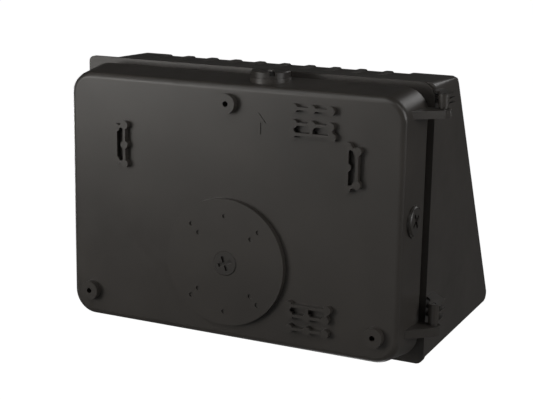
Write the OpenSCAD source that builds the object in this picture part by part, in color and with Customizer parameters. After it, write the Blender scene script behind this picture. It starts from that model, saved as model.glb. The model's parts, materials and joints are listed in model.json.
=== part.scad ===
// Full-cutoff LED wall pack: a cast back box that stands on the wall on three bosses, and a
// cast wedge-shaped front housing that hangs on two lift-off hinges and shines straight down.
// Millimetres. The origin is on the wall plane at the centre of the round outlet-box pad.
// +Y points into the wall, -Y towards the viewer in front, +Z up. Hinges are on the -X side.

/* [Back box] */
// Half width of the flat back plate
plate_half_w = 155.4; // [145:0.1:165]
// Bottom edge of the back plate
plate_bottom = -66.8; // [-75:0.1:-60]
// Top edge of the back plate
plate_top = 152.9; // [140:0.1:165]
// Corner radius of the back plate
plate_corner = 20; // [12:1:30]
// Depth of the back box from plate to rim
box_depth = 51; // [40:1:60]
// Thickness of the cast walls
wall = 3; // [2.5:0.1:4]
// How far the walls spread from plate to the step before the rim
draft = 3.6; // [2:0.1:6]
// Depth of the recessed band that runs round the rim
band_depth = 13; // [8:0.5:16]

/* [Wall side] */
// Height of the standoff bosses
boss_h = 6; // [4:0.5:10]
// Radius of the standoff bosses
boss_r = 8.3; // [7:0.1:10]
// Radius of the anchor screw holes
anchor_r = 2.4; // [2:0.1:3]
// Sideways distance of the lower bosses from the centre
boss_x = 135.4; // [120:0.1:142]
// Height of the lower bosses
boss_low_z = -43.2; // [-50:0.1:-35]
// Height of the upper boss
boss_top_z = 136.4; // [125:0.1:140]
// Radius of the round outlet-box pad
pad_r = 55; // [50:1:60]

/* [Front housing] */
// Latch-side edge of the housing flange
flange_right = 170; // [168:0.5:174]
// Top edge of the housing flange
flange_top = 159.5; // [158:0.5:165]
// Bottom edge of the housing flange
flange_bottom = -80; // [-84:0.5:-78]
// Depth from the wall to the upper front edge
top_depth = 127; // [110:1:140]
// Depth from the wall to the lower front edge
bottom_depth = 247; // [225:1:260]
// Latch-side wall of the housing
hood_right = 150; // [148:0.5:156]
// Number of cooling ribs
ribs = 9; // [5:2:11]
// Distance between two ribs
rib_pitch = 24.5; // [20:0.5:26]
// Thickness of a rib
rib_t = 5; // [3:0.5:8]
// Depth of the bays down the front
bay_depth = 3.2; // [2:0.1:3.5]
// Depth of the bays over the top
top_bay_depth = 1.6; // [1:0.1:2]

/* [Lens] */
// Half width of the lens glass
lens_half_w = 112.5; // [100:0.5:113]
// Thickness of the lens glass
lens_t = 4; // [3:0.5:4]

/* [Hidden] */
$fn = 48;
paint = [0.24, 0.22, 0.20];
steel = [0.75, 0.75, 0.76];
e = 0.05;

plate_y = -boss_h;
rim_y = plate_y - box_depth;
rim_w = 5;
rim_t = 4;
step_y = rim_y + band_depth;
band_g = -0.4;
floor_y = plate_y - wall;
pad_y = plate_y + 5;
top_entry_y = -32;
side_entry_y = -28;
side_seat_x = 157.9;
top_seat_z = 157.4;
top_entry_x = -26;
rear_entry = [-1, 1];

// hinge axis and barrels
pin_x = -172;
pin_y = -44;
pin_r = 2;
pin_run = 0.06;
barrel_r = 4.4;
ear_r = 6;
upper_ear = [134.6, 141];
lower_ear = [-46, -38.4];
upper_knuckle = [141.4, 153];
lower_knuckle = [-38, -20];
hood_left = -160;

// flange of the front housing
flange_y = rim_y - 1;
flange_t = 5;
flange_left = -160.5;
groove_t = 2;

// latch screws
latch_x = 165;
latch_z = [125, -45];
screw_r = 2.4;

// lens opening, seen from above
win_y = [-216, -100];
win_half_w = 110;
seat_z = -70;

// tray above the lens that carries the light source and the driver
tray_z = -34;
tray_t = 3;
tray_posts = [[-132, -85], [132, -85], [-132, -190], [132, -190]];
lens_screws = [[-117.3, -222], [0, -222], [117.3, -222], [-117.3, -94], [0, -94], [117.3, -94]];
board_screws = [[-89, -126], [89, -126], [-89, -190], [89, -190]];
board_y = [-196, -120];
board_t = 1.6;
lead_x = [89, 93];
lead_hole = [91, -150];

// ---------- general shapes ----------
module rrect(x0, x1, z0, z1, r) {
    translate([x0 + r, z0]) square([x1 - x0 - 2 * r, z1 - z0]);
    translate([x0, z0 + r]) square([x1 - x0, z1 - z0 - 2 * r]);
    for (x = [x0 + r, x1 - r], z = [z0 + r, z1 - r]) translate([x, z]) circle(r);
}

// a flat shape drawn in X and Z, from y towards the front by t
module along_y(y, t) {
    translate([0, y, 0]) rotate([90, 0, 0]) linear_extrude(t) children();
}

module post_y(x, z, r, y, t) {
    translate([x, y, z]) rotate([90, 0, 0]) cylinder(r = r, h = t);
}

// outline of the back box, grown by g on every side
module box_outline(g, r) {
    rrect(-plate_half_w - g, plate_half_w + g, plate_bottom - g, plate_top + g, r);
}

module ring_y(y, t, g_out, g_in, r_out, r_in) {
    along_y(y, t) difference() {
        box_outline(g_out, r_out);
        box_outline(g_in, r_in);
    }
}

module pan_head_screw(head_r, head_h, shank_r, shank_l) {
    difference() {
        union() {
            cylinder(r1 = head_r, r2 = head_r * 0.8, h = head_h);
            translate([0, 0, -shank_l]) cylinder(r = shank_r, h = shank_l + e);
        }
        translate([-head_r * 0.55, -0.5, head_h * 0.45]) cube([head_r * 1.1, 1, head_h]);
        translate([-0.5, -head_r * 0.55, head_h * 0.45]) cube([1, head_r * 1.1, head_h]);
    }
}

// ---------- back box ----------
module peg(p) {
    translate(p) circle(3.5, $fn = 24);
}

module web(p, q) {
    d = q - p;
    translate(p) rotate(atan2(d[1], d[0])) translate([0, -1.25]) square([norm(d), 2.5]);
}

module peg_string(pts) {
    for (p = pts) peg(p);
    for (i = [0 : len(pts) - 2]) web(pts[i], pts[i + 1]);
}

module peg_groups() {
    peg_string([[98, 110], [98, 93], [98, 76.3]]);
    peg_string([[106.2, 107.2], [106.2, 78.8]]);
    web([98, 110], [106.2, 107.2]);
    web([98, 76.3], [106.2, 78.8]);
    peg_string([[-108.6, 111.4], [-108.6, 94.7], [-108.6, 77.4]]);
    peg_string([[-117, 108], [-117, 80.9]]);
    web([-108.6, 111.4], [-117, 108]);
    web([-108.6, 77.4], [-117, 80.9]);
    for (m = [[1, 138, 125.4, 117.2], [-1, -46.9, -35.4, -26.8]]) {
        peg_string([[-61, m[1]], [-77, m[1]], [-93.2, m[1]]]);
        peg_string([[-61, m[2]], [-77, m[2]], [-93.2, m[2]]]);
        peg_string([[-59.8, m[3]], [-94.8, m[3]]]);
        web([-77, m[2]], [-77, m[3]]);
        web([-61, m[2]], [-59.8, m[3]]);
        web([-93.2, m[2]], [-94.8, m[3]]);
    }
}

module drill_marks() {
    for (d = [44.45, 34.93], a = [45 : 90 : 315])
        post_y(d * cos(a), d * sin(a), 2, pad_y + e, 1.2);
    for (z = [-41.7, 41.7]) post_y(0, z, 2, pad_y + e, 1.2);
}

module up_arrow() {
    polygon([[-28, 131], [-21.5, 123], [-26, 123], [-26, 113], [-30, 113], [-30, 123],
        [-34.5, 123]]);
}

module hinge_ear(z) {
    translate([pin_x, pin_y, z[0]]) cylinder(r = ear_r, h = z[1] - z[0]);
    translate([0, 0, z[0]]) linear_extrude(z[1] - z[0])
        polygon([[-154.5, -17.5], [-156.9, -19.5], [pin_x - 4.2, pin_y + 7.5],
            [pin_x - 6, pin_y + 2], [pin_x, pin_y - 6], [pin_x + 3.5, pin_y - 5.2],
            [-158.4, step_y - 1], [-154.5, step_y - 1]]);
}

module back_box() color(paint) difference() {
    union() {
        difference() {
            union() {
                hull() {
                    along_y(plate_y, e) box_outline(-5.5, plate_corner - 5);
                    along_y(plate_y - 1.2, e) box_outline(-2.4, plate_corner - 2);
                    along_y(plate_y - 3, e) box_outline(-0.7, plate_corner);
                    along_y(plate_y - 6, e) box_outline(0, plate_corner);
                    along_y(step_y + e, e) box_outline(draft, plate_corner);
                }
                along_y(step_y + 1, band_depth + 1) box_outline(band_g, plate_corner - 3);
            }
            hull() {
                along_y(floor_y, e) box_outline(-wall - 3, plate_corner - 6);
                along_y(floor_y - 4, e) box_outline(-wall, plate_corner - wall);
                along_y(step_y + 3, e) box_outline(draft - wall - 0.5, plate_corner - wall);
            }
            along_y(step_y + 3.5, band_depth + 3.5 - rim_t)
                box_outline(band_g - wall, plate_corner - wall - 3);
            along_y(rim_y + rim_t + e, rim_t + 1)
                box_outline(band_g - rim_w, plate_corner - rim_w - 3);
        }
        // outlet-box pad, standoff bosses, drilling pegs and arrow on the wall side
        post_y(0, 1.5, pad_r, pad_y, 5 + 1);
        for (p = [[-boss_x, boss_low_z], [boss_x, boss_low_z], [0, boss_top_z]])
            post_y(p[0], p[1], boss_r, 0, boss_h + 1);
        along_y(pad_y, 6) peg_groups();
        along_y(plate_y + 0.7, 1.5) up_arrow();
        // inside: thickening round the anchor holes and the rear entry
        for (p = [[-boss_x, boss_low_z], [boss_x, boss_low_z], [0, boss_top_z]])
            post_y(p[0], p[1], 6.5, floor_y + e, 3);
        post_y(rear_entry[0], rear_entry[1], 17, floor_y + e, 4);
        post_y(-110, -40, 5.5, floor_y + e, 8);
        // entries in the side walls and in the top wall
        translate([-side_seat_x, side_entry_y, 51]) rotate([0, 90, 0]) cylinder(r = 13.6, h = 9);
        translate([side_seat_x, side_entry_y, 51]) rotate([0, -90, 0]) cylinder(r = 13.6, h = 9);
        translate([top_entry_x, top_entry_y, top_seat_z - 9]) cylinder(r = 17.4, h = 9);
        hinge_ear(upper_ear);
        hinge_ear(lower_ear);
        // latch lugs with their webs
        for (z = latch_z) {
            post_y(latch_x, z, 6.3, rim_y + 18, 18);
            translate([153.5, rim_y, z - 4]) cube([9, 18, 8]);
        }
    }
    for (p = [[-boss_x, boss_low_z], [boss_x, boss_low_z], [0, boss_top_z]])
        post_y(p[0], p[1], anchor_r, 1, boss_h + wall + 6);
    drill_marks();
    // threaded entries and the shallow seats of the side plugs
    for (t = [-1, 1]) translate([t * side_seat_x, side_entry_y, 51])
        rotate([0, t * 90, 0]) cylinder(r = 12.9, h = 10);
    post_y(rear_entry[0], rear_entry[1], 10.4, 1, 20);
    translate([-175, side_entry_y, 51]) rotate([0, 90, 0]) cylinder(r = 10.4, h = 30);
    translate([145, side_entry_y, 51]) rotate([0, 90, 0]) cylinder(r = 10.4, h = 30);
    translate([top_entry_x, top_entry_y, 140]) cylinder(r = 13.3, h = 30);
    post_y(-110, -40, 1.9, floor_y - 1, 12);
    for (z = [upper_ear, lower_ear])
        translate([pin_x, pin_y, z[0] - 1]) cylinder(r = pin_r, h = z[1] - z[0] + 2);
    for (z = latch_z) post_y(latch_x, z, screw_r + 0.5, rim_y + 14, 15);
}

// a conduit plug: slotted head on a threaded shank, axis +Z, seat at z = 0
module entry_plug(head_r, head_h, shank_r, shank_l, slot_l, slot_w, turn) {
    difference() {
        union() {
            cylinder(r = head_r, h = head_h - 0.8);
            translate([0, 0, head_h - 0.8 - e])
                cylinder(r1 = head_r, r2 = head_r - 0.8, h = 0.8 + e);
            translate([0, 0, -shank_l]) cylinder(r = shank_r, h = shank_l + e);
        }
        rotate(turn) for (a = [0, 90])
            rotate(a) translate([-slot_l / 2, -slot_w / 2, head_h - 1.8]) cube([slot_l, slot_w, 3]);
    }
}

module rear_entry_plug() color(paint)
    translate([rear_entry[0], pad_y, rear_entry[1]]) rotate([-90, 0, 0])
        entry_plug(10.85, 0.9, 10.3, 10, 13, 3, 22);

module side_entry_plug() color(paint)
    translate([-side_seat_x, side_entry_y, 51]) rotate([0, -90, 0])
        entry_plug(12.2, 1.2, 10.3, 8, 14, 3, 30);

module latch_side_entry_plug() color(paint)
    translate([side_seat_x, side_entry_y, 51]) rotate([0, 90, 0])
        entry_plug(12.2, 1.2, 10.3, 8, 14, 3, 15);

module top_entry_plug() color(paint)
    translate([top_entry_x, top_entry_y, top_seat_z])
        difference() {
            entry_plug(16.4, 5.6, 13.2, 8, 12, 4, 30);
            rotate(30) for (a = [0, 90])
                rotate(a) translate([-20, -2.4, 2.2]) cube([40, 4.8, 6]);
        }

module hinge_pin(z0, z1) color(steel)
    translate([pin_x, pin_y, z0]) {
        cylinder(r = pin_r, h = z1 - z0 - 1);
        translate([0, 0, z1 - z0 - 1 - e]) cylinder(r1 = pin_r, r2 = pin_r - 0.7, h = 1);
    }

module upper_hinge_pin() hinge_pin(upper_ear[0], upper_knuckle[1] - 0.5);
module lower_hinge_pin() hinge_pin(lower_ear[0], lower_knuckle[1] - 0.5);

module terminal_block() color([0.85, 0.84, 0.80]) difference() {
    translate([55, floor_y - 18, 70]) cube([54, 18, 22]);
    for (x = [64 : 18 : 100]) {
        translate([x - 5, floor_y - 19, 83]) cube([10, 8, 6]);
        translate([x, floor_y - 10, 69]) cylinder(r = 2.2, h = 12);
    }
}

module ground_screw() color([0.20, 0.50, 0.25])
    translate([-110, floor_y - 8 + e, -40]) rotate([90, 0, 0])
        pan_head_screw(5.5, 3, 1.9, 6);

// ---------- front housing ----------
// the wedge body; the two front edges are bars along X with rounded ends
module edge_bar(g, c, r, end_r) {
    for (k = [[0, end_r], [end_r * 0.3, end_r * 0.3], [end_r, 0]])
        translate([hood_left + g + k[0], c[0], c[1]]) rotate([0, 90, 0])
            cylinder(r = r - k[1], h = hood_right - hood_left - 2 * g - 2 * k[0]);
}

module wedge(rear_y, rear_g, front_g, top_c, top_r, top_end, low_c, low_r) {
    hull() {
        along_y(rear_y, 1) {
            rrect(hood_left + rear_g, hood_right - rear_g, 0, 159.3 - rear_g, 7);
            rrect(hood_left + rear_g, hood_right - rear_g, -76 + rear_g, 50, 2);
        }
        edge_bar(front_g, top_c, top_r, top_end);
        edge_bar(front_g, low_c, low_r, 1.5);
    }
}

front_run = [top_depth - bottom_depth, -212.5];
front_tilt = atan2(-front_run[0], -front_run[1]);

// one bay: over the top and down the front, drawn in Y and Z
module rib_bay(x, w) {
    translate([x, 0, 0]) rotate([90, 0, 90]) linear_extrude(w) {
        translate([-top_depth - 20, 158.2 - top_bay_depth]) square([63, 12]);
        translate([-top_depth + 2.6, 157.9]) rotate(-front_tilt)
            translate([-12, -205]) square([12 + bay_depth + 1.2, 212]);
    }
}

module rib_bays() {
    half = (ribs - 1) / 2;
    for (k = [-half - 1 : half])
        rib_bay(k * rib_pitch + rib_t / 2, rib_pitch - rib_t);
}

// a hinge barrel carried by three thin arms that reach back past the rim of the back box
module knuckle(z) {
    translate([pin_x, pin_y, z[0]]) cylinder(r = 3.6, h = 2 + e);
    translate([pin_x, pin_y, z[0] + 1.5]) cylinder(r = barrel_r, h = z[1] - z[0] - 1.5);
    for (t = [z[0] + 1.5, (z[0] + z[1]) / 2 - 0.6, z[1] - 2.4])
        translate([0, 0, t]) linear_extrude(2.4)
            polygon([[pin_x - barrel_r, pin_y], [pin_x - barrel_r, flange_y - 3],
                [pin_x - 1, flange_y - flange_t - 1], [-160, flange_y - flange_t - 14],
                [-158, flange_y - flange_t - 14], [-158, flange_y - 1], [-161.5, flange_y - 1],
                [-166, flange_y + 5], [pin_x + 4, pin_y - 2]]);
}

module flange_outline() {
    hull() {
        for (c = [[flange_left + 15, flange_top - 15, 15], [flange_right - 5, flange_top - 5, 5],
            [flange_left + 7, flange_bottom + 7, 7], [flange_right - 9, flange_bottom + 9, 9]])
            translate([c[0], c[1]]) circle(c[2]);
    }
}

module front_housing() color(paint) difference() {
    union() {
        difference() {
            union() {
                along_y(flange_y, flange_t) flange_outline();
                wedge(flange_y - 2.5, 0, 0, [-top_depth + 9, 149], 9, 5,
                    [-bottom_depth + 7.5, -67.5], 7.5);
            }
            rib_bays();
            wedge(flange_y - flange_t, 7.5, 3.6, [-top_depth + 11.5, 145.6], 6, 2,
                [-bottom_depth + 12, -62.5], 5);
            along_y(flange_y + 1, flange_t + 4)
                rrect(-plate_half_w + 5, hood_right - 8.7, plate_bottom + 5, plate_top - 5, 12);
        }
        for (p = lens_screws) translate([p[0], p[1], seat_z]) cylinder(r = 5, h = 12);
        for (p = tray_posts)
            translate([p[0], p[1], seat_z - 1]) cylinder(r = 5.5, h = tray_z - seat_z + 1);
        knuckle(upper_knuckle);
        knuckle(lower_knuckle);
    }
    // groove for the door gasket
    ring_y(flange_y + e, groove_t + e, -0.6, -4, 16.5, 13.1);
    // seat for the lens and its frame, open below, and the window through it
    translate([-122, -228, seat_z - 30]) cube([244, 140, 30]);
    translate([-win_half_w, win_y[0], seat_z - 30])
        cube([2 * win_half_w, win_y[1] - win_y[0], 50]);
    for (p = lens_screws) translate([p[0], p[1], seat_z - 1]) cylinder(r = 1.75, h = 11);
    for (p = tray_posts) translate([p[0], p[1], tray_z - 14]) cylinder(r = 1.95, h = 15);
    for (z = latch_z) post_y(latch_x, z, screw_r + 0.4, flange_y + 1, flange_t + 2);
    for (z = [upper_knuckle, lower_knuckle])
        translate([pin_x, pin_y, z[0] - 1]) cylinder(r = pin_r + pin_run, h = z[1] - z[0] + 2);
}

module door_gasket() color([0.08, 0.08, 0.08])
    ring_y(rim_y - 0.4, groove_t + 0.6, -0.7, -3.9, 16.4, 13.2);

module latch_screw(z) color(steel)
    translate([latch_x, flange_y - flange_t - 0.3, z]) rotate([90, 0, 0])
        pan_head_screw(4.4, 3.4, screw_r, 13);

module upper_latch_screw() latch_screw(latch_z[0]);
module lower_latch_screw() latch_screw(latch_z[1]);

// ---------- lens ----------
module lens_plan(x, y0, y1, r) {
    rrect(-x, x, y0, y1, r);
}

module lens_gasket() color([0.10, 0.10, 0.10])
    translate([0, 0, seat_z - 1.5]) linear_extrude(1.5) difference() {
        lens_plan(lens_half_w - 0.3, win_y[0] - 2.3, win_y[1] + 2.3, 2);
        lens_plan(win_half_w - 4, win_y[0] + 4, win_y[1] - 4, 2);
    }

module lens() color([0.85, 0.92, 0.95, 0.5])
    translate([0, 0, seat_z - 1.5 - lens_t]) linear_extrude(lens_t)
        lens_plan(lens_half_w, win_y[0] - 2.5, win_y[1] + 2.5, 3);

module lens_frame() color(paint) difference() {
    translate([0, 0, -78]) linear_extrude(78 + seat_z - 0.1)
        lens_plan(121.6, -227.6, -88.4, 1);
    translate([0, 0, seat_z - 1.6 - lens_t]) linear_extrude(20)
        lens_plan(lens_half_w + 0.4, win_y[0] - 2.9, win_y[1] + 2.9, 3);
    translate([0, 0, -80]) linear_extrude(20)
        lens_plan(win_half_w - 3, win_y[0] + 3, win_y[1] - 3, 3);
    for (p = lens_screws) translate([p[0], p[1], -80]) cylinder(r = 1.95, h = 12);
}

module lens_screw(i) color(steel)
    translate([lens_screws[i][0], lens_screws[i][1], -78]) rotate([180, 0, 0])
        pan_head_screw(3.6, 1.9, 1.7, 17);

// ---------- light engine ----------
module led_tray() color([0.78, 0.79, 0.80]) difference() {
    translate([-139, -203, tray_z]) cube([278, 133, tray_t]);
    for (p = tray_posts) translate([p[0], p[1], tray_z - 1]) cylinder(r = 2.2, h = 6);
    for (p = board_screws) translate([p[0], p[1], tray_z - 1]) cylinder(r = 1.35, h = 6);
    translate([lead_hole[0], lead_hole[1], tray_z - 1]) cylinder(r = 5, h = 6);
    for (x = [-92, 92]) translate([x, -107, tray_z - 1]) cylinder(r = 1.75, h = 6);
}

module tray_screw(i) color(steel)
    translate([tray_posts[i][0], tray_posts[i][1], tray_z + tray_t])
        pan_head_screw(4, 2.4, 1.9, 14);

module led_board() color([0.92, 0.92, 0.90]) difference() {
    translate([-95, board_y[0], tray_z - board_t])
        cube([190, board_y[1] - board_y[0], board_t]);
    for (p = board_screws) translate([p[0], p[1], tray_z - 4]) cylinder(r = 1.5, h = 6);
}

module led_emitters() color([0.95, 0.82, 0.30])
    for (x = [-75 : 15 : 75], y = [-186 : 14 : -130])
        translate([x - 1.6, y - 1.6, tray_z - board_t - 0.7]) cube([3.2, 3.2, 0.7]);

module board_screw(i) color(steel)
    translate([board_screws[i][0], board_screws[i][1], tray_z - board_t]) rotate([180, 0, 0])
        pan_head_screw(2.7, 1.6, 1.3, 4);

module reflector() color([0.90, 0.90, 0.92]) difference() {
    hull() {
        translate([0, 0, tray_z - e]) linear_extrude(e) lens_plan(98.5, -198.5, -117.5, 3);
        translate([0, 0, seat_z + 0.6]) linear_extrude(e) lens_plan(109.5, -215.5, -100.5, 3);
    }
    hull() {
        translate([0, 0, tray_z + 0.1]) linear_extrude(e) lens_plan(97.2, -197.2, -118.8, 2);
        translate([0, 0, seat_z + 0.4]) linear_extrude(e) lens_plan(108.4, -214.4, -101.6, 2);
    }
}

module led_driver() color([0.88, 0.88, 0.86]) difference() {
    union() {
        translate([-84, -129, tray_z + tray_t]) cube([168, 44, 30]);
        translate([-98, -118, tray_z + tray_t]) cube([196, 22, 2]);
    }
    for (x = [-92, 92]) translate([x, -107, tray_z]) cylinder(r = 1.9, h = 8);
}

module driver_screw(x) color(steel)
    translate([x, -107, tray_z + tray_t + 2]) pan_head_screw(3.4, 2.2, 1.7, 5);

// a lead from the end of the driver over the tray and down to the board
module lead(x) {
    r = 1.1;
    y0 = -122;
    z0 = -14;
    translate([84, y0, z0 + (x - lead_x[0])]) rotate([0, 90, 0]) cylinder(r = r, h = x - 84);
    translate([x, y0, z0 + (x - lead_x[0])]) sphere(r, $fn = 24);
    translate([x, lead_hole[1], z0 + (x - lead_x[0])]) rotate([-90, 0, 0])
        cylinder(r = r, h = y0 - lead_hole[1]);
    translate([x, lead_hole[1], z0 + (x - lead_x[0])]) sphere(r, $fn = 24);
    translate([x, lead_hole[1], tray_z]) cylinder(r = r, h = z0 - tray_z + (x - lead_x[0]));
}

module positive_lead() color([0.75, 0.12, 0.10]) lead(lead_x[0]);
module negative_lead() color([0.10, 0.10, 0.10]) lead(lead_x[1]);

module lead_grommet() color([0.10, 0.10, 0.10])
    translate([lead_hole[0], lead_hole[1], tray_z]) difference() {
        union() {
            cylinder(r = 4.95, h = tray_t + e);
            translate([0, 0, tray_t]) cylinder(r = 6.5, h = 1.5);
        }
        translate([0, 0, -1]) cylinder(r = 3.6, h = 8);
    }

back_box();
rear_entry_plug();
side_entry_plug();
latch_side_entry_plug();
top_entry_plug();
upper_hinge_pin();
lower_hinge_pin();
terminal_block();
ground_screw();
front_housing();
door_gasket();
lens_frame();
lens();
lens_gasket();
lens_screw(0);  // lens_screw_1
lens_screw(1);  // lens_screw_2
lens_screw(2);  // lens_screw_3
lens_screw(3);  // lens_screw_4
lens_screw(4);  // lens_screw_5
lens_screw(5);  // lens_screw_6
led_tray();
tray_screw(0);  // tray_screw_1
tray_screw(1);  // tray_screw_2
tray_screw(2);  // tray_screw_3
tray_screw(3);  // tray_screw_4
led_board();
led_emitters();
board_screw(0);  // board_screw_1
board_screw(1);  // board_screw_2
board_screw(2);  // board_screw_3
board_screw(3);  // board_screw_4
reflector();
led_driver();
driver_screw(-92);  // driver_screw_1
driver_screw(92);  // driver_screw_2
positive_lead();
negative_lead();
lead_grommet();
upper_latch_screw();
lower_latch_screw();
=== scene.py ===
"""Full-cutoff LED wall pack light: dark bronze castings, light engine behind a lens that faces down."""
import json
import math

import bpy
from mathutils import Matrix, Vector


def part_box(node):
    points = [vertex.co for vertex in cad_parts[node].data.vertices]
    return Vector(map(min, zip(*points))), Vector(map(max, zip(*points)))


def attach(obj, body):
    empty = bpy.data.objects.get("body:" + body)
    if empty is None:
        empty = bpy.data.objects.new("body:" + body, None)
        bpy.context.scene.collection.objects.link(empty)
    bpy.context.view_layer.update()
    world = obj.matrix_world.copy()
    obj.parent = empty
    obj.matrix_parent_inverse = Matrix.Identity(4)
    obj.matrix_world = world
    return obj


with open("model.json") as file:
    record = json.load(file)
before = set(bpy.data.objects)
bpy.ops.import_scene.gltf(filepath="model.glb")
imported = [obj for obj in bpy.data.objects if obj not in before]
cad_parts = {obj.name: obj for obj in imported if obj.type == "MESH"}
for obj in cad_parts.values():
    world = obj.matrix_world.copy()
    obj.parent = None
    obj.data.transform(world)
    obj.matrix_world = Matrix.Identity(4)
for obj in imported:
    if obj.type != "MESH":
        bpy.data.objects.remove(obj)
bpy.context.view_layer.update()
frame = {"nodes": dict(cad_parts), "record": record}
NODES = frame["nodes"]


# ---------------------------------------------------------------- camera, light and floor
CAMERA_PLACE = (-0.4754, 0.9092, 0.2951)
CAMERA_TARGET = (-0.0366, -0.0056, 0.0590)
CAMERA_ROLL = math.radians(1.0)
CAMERA_LENS = 85.4          # mm, on a sensor 36 mm wide
GLOW_BELOW = 0.07           # brightness of the room, which shows only in reflections
GLOW_ABOVE = 0.012
FLOOR_HALF = 30.0
FLOOR_DROP = 1.3            # how far the floor lies below the origin
WHITE = (1.0, 1.0, 1.0)
WARM = (1.0, 0.985, 0.96)
# name: place, target, (width, height), watts, colour
LIGHTS = {
    "key": ((0.80, 0.95, 0.18), (0.05, 0, 0.10), (0.5, 0.4), 1.5, WARM),
    "wide": ((0.95, 1.25, 0.35), (0.05, 0, 0.10), (0.9, 0.7), 7.6, WARM),
    "hinge_side": ((-1.35, 0.10, 0.45), (-0.15, -0.08, 0.05), (0.6, 0.9), 7.0, WHITE),
    "behind": ((0.35, 1.0, 1.1), (0.0, 0.0, 0.1), (0.8, 0.5), 4.0, WHITE),
    "low": ((-0.2, 1.3, -0.25), (-0.05, 0, 0.0), (1.0, 0.3), 0.6, WHITE),
    "corner": ((-0.75, 0.45, 1.1), (-0.15, -0.03, 0.14), (0.35, 0.35), 1.0, WHITE),
    "rim": ((-0.6, -1.3, 0.8), (-0.15, -0.05, 0.14), (0.5, 0.5), 2.4, WHITE),
    "front": ((0.35, -1.5, -0.06), (0, -0.15, -0.02), (0.9, 0.3), 6.0, WHITE),
    "latch_side": ((1.4, -0.5, -0.08), (0.15, -0.1, 0.0), (0.5, 0.3), 5.0, WHITE),
    "under": ((0.1, -0.35, -1.1), (0, -0.15, -0.05), (0.5, 0.5), 3.0, WHITE),
}


def look_at(obj, target, roll=0.0):
    """Turns obj's -Z to target, then rolls it about the line of sight."""
    back = (obj.location - Vector(target)).normalized()
    turn = back.to_track_quat("Z", "Y").to_matrix().to_4x4()
    obj.matrix_world = Matrix.Translation(obj.location) @ turn @ Matrix.Rotation(roll, 4, "Z")


def make_camera():
    data = bpy.data.cameras.new("camera")
    data.sensor_width = 36.0
    data.lens = CAMERA_LENS
    data.clip_start, data.clip_end = 0.01, 100.0
    cam = bpy.data.objects.new("camera", data)
    bpy.context.scene.collection.objects.link(cam)
    cam.location = CAMERA_PLACE
    look_at(cam, CAMERA_TARGET, CAMERA_ROLL)
    bpy.context.scene.camera = cam


def area_light(name, place, target, size, power, tint):
    data = bpy.data.lights.new(name, "AREA")
    data.shape = "RECTANGLE"
    data.size, data.size_y = size
    data.energy = power
    data.color = tint
    light = bpy.data.objects.new(name, data)
    bpy.context.scene.collection.objects.link(light)
    light.location = place
    look_at(light, target)


def make_world():
    """White to the camera, and a dark room for the light with a dim glow from below."""
    world = bpy.data.worlds.new("studio")
    bpy.context.scene.world = world
    world.use_nodes = True
    tree = world.node_tree
    tree.nodes.clear()
    out = tree.nodes.new("ShaderNodeOutputWorld")
    mix = tree.nodes.new("ShaderNodeMixShader")
    path = tree.nodes.new("ShaderNodeLightPath")
    seen = tree.nodes.new("ShaderNodeBackground")
    seen.inputs["Color"].default_value = (1, 1, 1, 1)
    room = tree.nodes.new("ShaderNodeBackground")
    where = tree.nodes.new("ShaderNodeTexCoord")
    split = tree.nodes.new("ShaderNodeSeparateXYZ")
    ramp = tree.nodes.new("ShaderNodeValToRGB")
    span = tree.nodes.new("ShaderNodeMapRange")
    span.inputs["From Min"].default_value = -1.0
    ramp.color_ramp.elements[0].color = (GLOW_BELOW, GLOW_BELOW, GLOW_BELOW, 1)
    ramp.color_ramp.elements[1].color = (GLOW_ABOVE, GLOW_ABOVE, GLOW_ABOVE, 1)
    ramp.color_ramp.elements[0].position = 0.38
    ramp.color_ramp.elements[1].position = 0.85
    tree.links.new(where.outputs["Generated"], split.inputs[0])
    tree.links.new(split.outputs["Z"], span.inputs["Value"])
    tree.links.new(span.outputs["Result"], ramp.inputs[0])
    tree.links.new(ramp.outputs["Color"], room.inputs["Color"])
    tree.links.new(path.outputs["Is Camera Ray"], mix.inputs[0])
    tree.links.new(room.outputs[0], mix.inputs[1])
    tree.links.new(seen.outputs[0], mix.inputs[2])
    tree.links.new(mix.outputs[0], out.inputs[0])


def make_floor():
    """A plain pale floor well below the light, which hangs on a wall."""
    mesh = bpy.data.meshes.new("floor")
    r = FLOOR_HALF
    mesh.from_pydata([(-r, -r, 0), (r, -r, 0), (r, r, 0), (-r, r, 0)], [], [(0, 1, 2, 3)])
    floor = bpy.data.objects.new("floor", mesh)
    bpy.context.scene.collection.objects.link(floor)
    floor.location = (0, 0, -FLOOR_DROP)
    mat = bpy.data.materials.new("floor_white")
    mat.use_nodes = True
    bsdf = mat.node_tree.nodes["Principled BSDF"]
    bsdf.inputs["Base Color"].default_value = (0.85, 0.85, 0.85, 1)
    bsdf.inputs["Roughness"].default_value = 0.9
    bsdf.inputs["Emission Color"].default_value = (1, 1, 1, 1)
    bsdf.inputs["Emission Strength"].default_value = 1.0
    mesh.materials.append(mat)
    floor.visible_diffuse = False
    floor.visible_glossy = False


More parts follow.
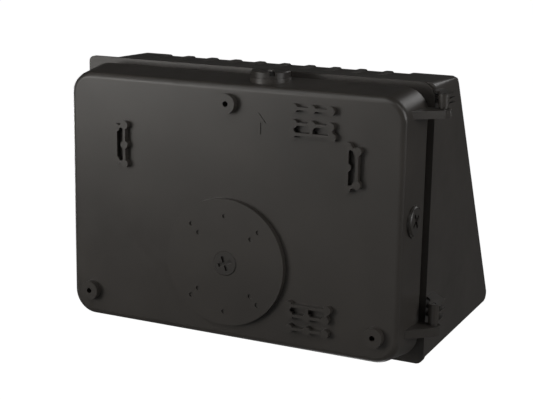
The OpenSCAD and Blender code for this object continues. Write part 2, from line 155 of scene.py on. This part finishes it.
# ---------------------------------------------------------------- materials
class Mat:
    """A procedural material: a Principled shader and the nodes that vary it."""

    def __init__(self, name, color, rough, metal=0.0, spec=0.5):
        self.mat = bpy.data.materials.new(name)
        self.mat.use_nodes = True
        self.tree = self.mat.node_tree
        self.bsdf = self.tree.nodes["Principled BSDF"]
        self.color = color
        self.bsdf.inputs["Base Color"].default_value = (*color, 1)
        self.bsdf.inputs["Roughness"].default_value = rough
        self.bsdf.inputs["Metallic"].default_value = metal
        self.bsdf.inputs["Specular IOR Level"].default_value = spec
        self.coord = self.tree.nodes.new("ShaderNodeTexCoord")
        self.height = None

    def new(self, kind, **inputs):
        node = self.tree.nodes.new(kind)
        for key, value in inputs.items():
            node.inputs[key.replace("_", " ")].default_value = value
        return node

    def link(self, a, b):
        self.tree.links.new(a, b)

    def place(self, scale=(1, 1, 1)):
        node = self.new("ShaderNodeMapping")
        node.inputs["Scale"].default_value = scale
        self.link(self.coord.outputs["Object"], node.inputs["Vector"])
        return node.outputs[0]

    def noise(self, scale, detail=2.0, stretch=(1, 1, 1), rough=0.5):
        node = self.new("ShaderNodeTexNoise", Scale=scale, Detail=detail, Roughness=rough)
        self.link(self.place(stretch), node.inputs["Vector"])
        return node.outputs["Fac"]

    def ramp(self, source, low, high, out_low=0.0, out_high=1.0):
        node = self.new("ShaderNodeMapRange")
        node.inputs["From Min"].default_value = low
        node.inputs["From Max"].default_value = high
        node.inputs["To Min"].default_value = out_low
        node.inputs["To Max"].default_value = out_high
        self.link(source, node.inputs["Value"])
        return node.outputs["Result"]

    def vary_color(self, source, other, low=0.35, high=0.65):
        """Blends the base colour into another one where source runs from low to high."""
        mix = self.new("ShaderNodeMix")
        mix.data_type = "RGBA"
        factor, color_a, color_b = mix.inputs[0], mix.inputs[6], mix.inputs[7]
        color_a.default_value = (*self.color, 1)
        color_b.default_value = (*other, 1)
        self.link(self.ramp(source, low, high), factor)
        self.link(mix.outputs[2], self.bsdf.inputs["Base Color"])
        return self

    def vary_rough(self, source, low, high):
        self.link(self.ramp(source, 0.3, 0.7, low, high), self.bsdf.inputs["Roughness"])
        return self

    def bump(self, source, distance, strength=1.0):
        node = self.new("ShaderNodeBump", Strength=strength, Distance=distance)
        self.link(source, node.inputs["Height"])
        if self.height:
            self.link(self.height, node.inputs["Normal"])
        self.height = node.outputs[0]
        self.link(self.height, self.bsdf.inputs["Normal"])
        return self


def powder_coat(name, color, other, rough=0.37):
    m = Mat(name, color, rough, spec=0.5)
    m.vary_color(m.noise(14, 3.0), other)
    m.vary_rough(m.noise(60, 3.0), rough - 0.02, rough + 0.03)
    m.bump(m.noise(900, 2.0), 0.00006, 0.55)
    m.bump(m.noise(220, 2.0), 0.00006, 0.15)
    return m.mat


def brushed(name, color, rough, stretch, fine=700):
    m = Mat(name, color, rough, metal=1.0)
    grain = m.noise(fine, 2.0, stretch)
    m.vary_rough(grain, rough - 0.08, rough + 0.12)
    m.vary_color(m.noise(60, 2.0), tuple(c * 0.86 for c in color))
    m.bump(grain, 0.00003, 0.4)
    return m.mat


def moulded(name, color, rough, grain=600):
    m = Mat(name, color, rough, spec=0.5)
    m.vary_color(m.noise(50, 2.0), tuple(c * 0.9 for c in color))
    m.bump(m.noise(grain, 2.0), 0.00004, 0.35)
    return m.mat


def clear_glass():
    m = Mat("clear_glass", (0.93, 0.98, 0.97), 0.02)
    m.bsdf.inputs["Transmission Weight"].default_value = 1.0
    m.bsdf.inputs["IOR"].default_value = 1.5
    m.bump(m.noise(12, 1.0), 0.00005, 0.15)
    return m.mat


def make_materials():
    bronze, bronze_2 = (0.047, 0.042, 0.037), (0.038, 0.034, 0.030)
    return {
        "bronze_powder_coat": powder_coat("bronze_powder_coat", bronze, bronze_2),
        "plug_finish": powder_coat("plug_finish", (0.040, 0.036, 0.032), (0.03, 0.027, 0.024), 0.38),
        "pin_steel": brushed("pin_steel", (0.55, 0.55, 0.56), 0.32, (1, 1, 0.05)),
        "stainless_steel": brushed("stainless_steel", (0.62, 0.62, 0.62), 0.28, (1, 1, 0.2)),
        "blackened_steel": brushed("blackened_steel", (0.12, 0.115, 0.11), 0.38, (1, 1, 0.2)),
        "ground_green": brushed("ground_green", (0.05, 0.30, 0.10), 0.35, (1, 1, 0.2)),
        "black_rubber": moulded("black_rubber", (0.018, 0.018, 0.018), 0.75, 400),
        "clear_glass": clear_glass(),
        "tray_aluminium": brushed("tray_aluminium", (0.72, 0.73, 0.74), 0.36, (0.03, 1, 1)),
        "board_white": moulded("board_white", (0.80, 0.80, 0.77), 0.35),
        "emitter_yellow": moulded("emitter_yellow", (0.85, 0.62, 0.10), 0.25),
        "reflector_bright": brushed("reflector_bright", (0.86, 0.86, 0.87), 0.16, (1, 1, 0.1)),
        "driver_case": powder_coat("driver_case", (0.70, 0.70, 0.68), (0.66, 0.66, 0.63), 0.4),
        "red_insulation": moulded("red_insulation", (0.50, 0.02, 0.015), 0.45),
        "black_insulation": moulded("black_insulation", (0.015, 0.015, 0.015), 0.45),
        "terminal_plastic": moulded("terminal_plastic", (0.66, 0.64, 0.56), 0.45),
    }


MATS = make_materials()

# how far each casting's edges are rounded, in metres
EDGE_ROUND = {
    "back_box": 0.0008,
    "front_housing": 0.0008,
    "lens_frame": 0.0004,
    "top_entry_plug": 0.0005,
    "side_entry_plug": 0.0003,
    "latch_side_entry_plug": 0.0003,
    "rear_entry_plug": 0.0002,
    "led_tray": 0.0003,
    "led_driver": 0.0008,
    "terminal_block": 0.0004,
    "lens": 0.0003,
    "upper_latch_screw": 0.0002,
    "lower_latch_screw": 0.0002,
}


def dress_nodes():
    """Every CAD node takes the material of its slot in the record."""
    slots = {s["node"]: s["material_slot"] for s in frame["record"]["subparts"]}
    for name, obj in NODES.items():
        obj.data.materials.clear()
        obj.data.materials.append(MATS[slots[name]])


def soften_edges(name, width, segments=2, angle=28.0):
    """Edges get a small round: coplanar facets are joined, then the corners bevelled."""
    obj = NODES[name]
    weld = obj.modifiers.new("weld", "WELD")
    weld.merge_threshold = 0.00002
    flat = obj.modifiers.new("flat", "DECIMATE")
    flat.decimate_type = "DISSOLVE"
    flat.angle_limit = math.radians(0.6)
    bevel = obj.modifiers.new("bevel", "BEVEL")
    bevel.width = width
    bevel.segments = segments
    bevel.limit_method = "ANGLE"
    bevel.angle_limit = math.radians(angle)
    for poly in obj.data.polygons:
        poly.use_smooth = True
    split = obj.modifiers.new("split", "EDGE_SPLIT")
    split.split_angle = math.radians(40.0)
    normals = obj.modifiers.new("normals", "WEIGHTED_NORMAL")
    normals.keep_sharp = True
    normals.weight = 50


# ---------------------------------------------------------------- small pieces that CAD leaves plain
def piece(name, verts, faces, body, slot, smooth=40.0):
    """A new mesh in metres that moves with body and takes its finish from slot."""
    mesh = bpy.data.meshes.new(name)
    mesh.from_pydata(verts, [], faces)
    mesh.validate()
    mesh.polygons.foreach_set("use_smooth", [True] * len(mesh.polygons))
    mesh.set_sharp_from_angle(angle=math.radians(smooth))
    mesh.materials.append(MATS[slot])
    obj = bpy.data.objects.new(name, mesh)
    bpy.context.scene.collection.objects.link(obj)
    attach(obj, body)
    return obj


def lathe(profile, steps, place, axis="Z"):
    """Turns (radius, height) points in mm round an axis through place; returns verts and faces."""
    verts, faces = [], []
    for r, h in profile:
        for k in range(steps):
            t = 2 * math.pi * k / steps
            p = {"Z": (r * math.cos(t), r * math.sin(t), h),
                 "Y": (r * math.cos(t), h, -r * math.sin(t))}[axis]
            verts.append(tuple((a + b) / 1000 for a, b in zip(p, place)))
    for j in range(len(profile) - 1):
        for k in range(steps):
            n = (k + 1) % steps
            faces.append((j * steps + k, j * steps + n, (j + 1) * steps + n, (j + 1) * steps + k))
    faces.append(tuple(reversed(range(steps))))
    faces.append(tuple((len(profile) - 1) * steps + k for k in range(steps)))
    return verts, faces


def join(parts):
    verts, faces = [], []
    for v, f in parts:
        base = len(verts)
        verts += v
        faces += [tuple(i + base for i in face) for face in f]
    return verts, faces


def box_mesh(lo, hi):
    x, y, z = zip(lo, hi)
    verts = [(a / 1000, b / 1000, c / 1000) for a in x for b in y for c in z]
    return verts, [(0, 1, 3, 2), (4, 6, 7, 5), (0, 4, 5, 1), (2, 3, 7, 6), (0, 2, 6, 4), (1, 5, 7, 3)]


def box_mm(node):
    """A CAD node's lowest and highest corners at rest, in mm to a micrometre."""
    return [[round(1000 * v, 3) for v in corner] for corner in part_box(node)]


# the emitters stand in a grid that fills their node's box
EMITTER_COLUMNS, EMITTER_ROWS = 11, 5
EMITTER_HALF = 1.6


def emitter_grid():
    """The x places of the columns and the y places of the rows, in mm."""
    low, high = box_mm("led_emitters")
    places = []
    for axis, count in ((0, EMITTER_COLUMNS), (1, EMITTER_ROWS)):
        pitch = (high[axis] - low[axis] - 2 * EMITTER_HALF) / (count - 1)
        places.append([low[axis] + EMITTER_HALF + k * pitch for k in range(count)])
    return places


def emitter_domes():
    """A yellow resin dome under each emitter."""
    dome = [(0.3, -0.98), (0.75, -0.85), (1.1, -0.6), (1.3, -0.28), (1.35, 0.0)]
    steps = 16
    face_z = box_mm("led_emitters")[0][2]
    columns, rows = emitter_grid()
    parts = [lathe(dome, steps, (x, y, face_z)) for x in columns for y in rows]
    piece("emitter_domes", *join(parts), "door", "emitter_yellow")


def board_strips():
    """Copper strips that join the emitters of a row, proud of the white board."""
    gap, half_width, proud, sunk = 2.2, 0.9, 0.08, 0.02
    board_z = box_mm("led_board")[0][2]
    columns, rows = emitter_grid()
    parts = [box_mesh((x + gap, y - half_width, board_z - proud),
                      (x_next - gap, y + half_width, board_z + sunk))
             for y in rows for x, x_next in zip(columns, columns[1:])]
    piece("board_strips", *join(parts), "door", "reflector_bright")


def latch_thread(name, screw, body):
    """A rolled thread on the shank of a latch screw, near its tip."""
    pitch, root_r, crest_r, half_ridge = 0.8, 2.38, 2.72, 0.36
    length, tip, steps = 6.5, 0.6, 24
    low, high = box_mm(screw)
    axis_x, axis_z = (low[0] + high[0]) / 2, (low[2] + high[2]) / 2
    start_y = high[1] - tip - length
    count = round(length / pitch * steps)
    verts, faces = [], []
    for k in range(count + 1):
        t = 2 * math.pi * k / steps
        y = start_y + pitch * k / steps
        fade = min(1.0, k / steps, (count - k) / steps)
        crest = root_r + (crest_r - root_r) * fade
        for r, dy in ((root_r, -half_ridge), (crest, 0.0), (root_r, half_ridge)):
            place = (axis_x + r * math.cos(t), y + dy, axis_z + r * math.sin(t))
            verts.append(tuple(v / 1000 for v in place))
    for k in range(count):
        a = 3 * k
        faces += [(a, a + 1, a + 4, a + 3), (a + 1, a + 2, a + 5, a + 4), (a + 2, a, a + 3, a + 5)]
    faces += [(0, 2, 1), (3 * count, 3 * count + 1, 3 * count + 2)]
    piece(name, verts, faces, body, "blackened_steel", 60.0)


def terminal_screws():
    """Clamp screws in the pockets of the terminal block."""
    pitch, below_top, steps = 18.0, 6.0, 24
    profile = [(2.3, 5.1), (2.6, 5.5), (2.6, 7.0)]
    low, high = box_mm("terminal_block")
    middle = (low[0] + high[0]) / 2
    parts = [lathe(profile, steps, (middle + k * pitch, low[1], high[2] - below_top), "Y")
             for k in (-1, 0, 1)]
    piece("terminal_screws", *join(parts), "back", "pin_steel")


make_camera()
make_world()
make_floor()
for name, setup in LIGHTS.items():
    area_light(name, *setup)
dress_nodes()
for node, width in EDGE_ROUND.items():
    soften_edges(node, width)
emitter_domes()
board_strips()
latch_thread("upper_latch_thread", "upper_latch_screw", "upper_latch")
latch_thread("lower_latch_thread", "lower_latch_screw", "lower_latch")
terminal_screws()

bpy.context.scene.view_settings.view_transform = "Standard"
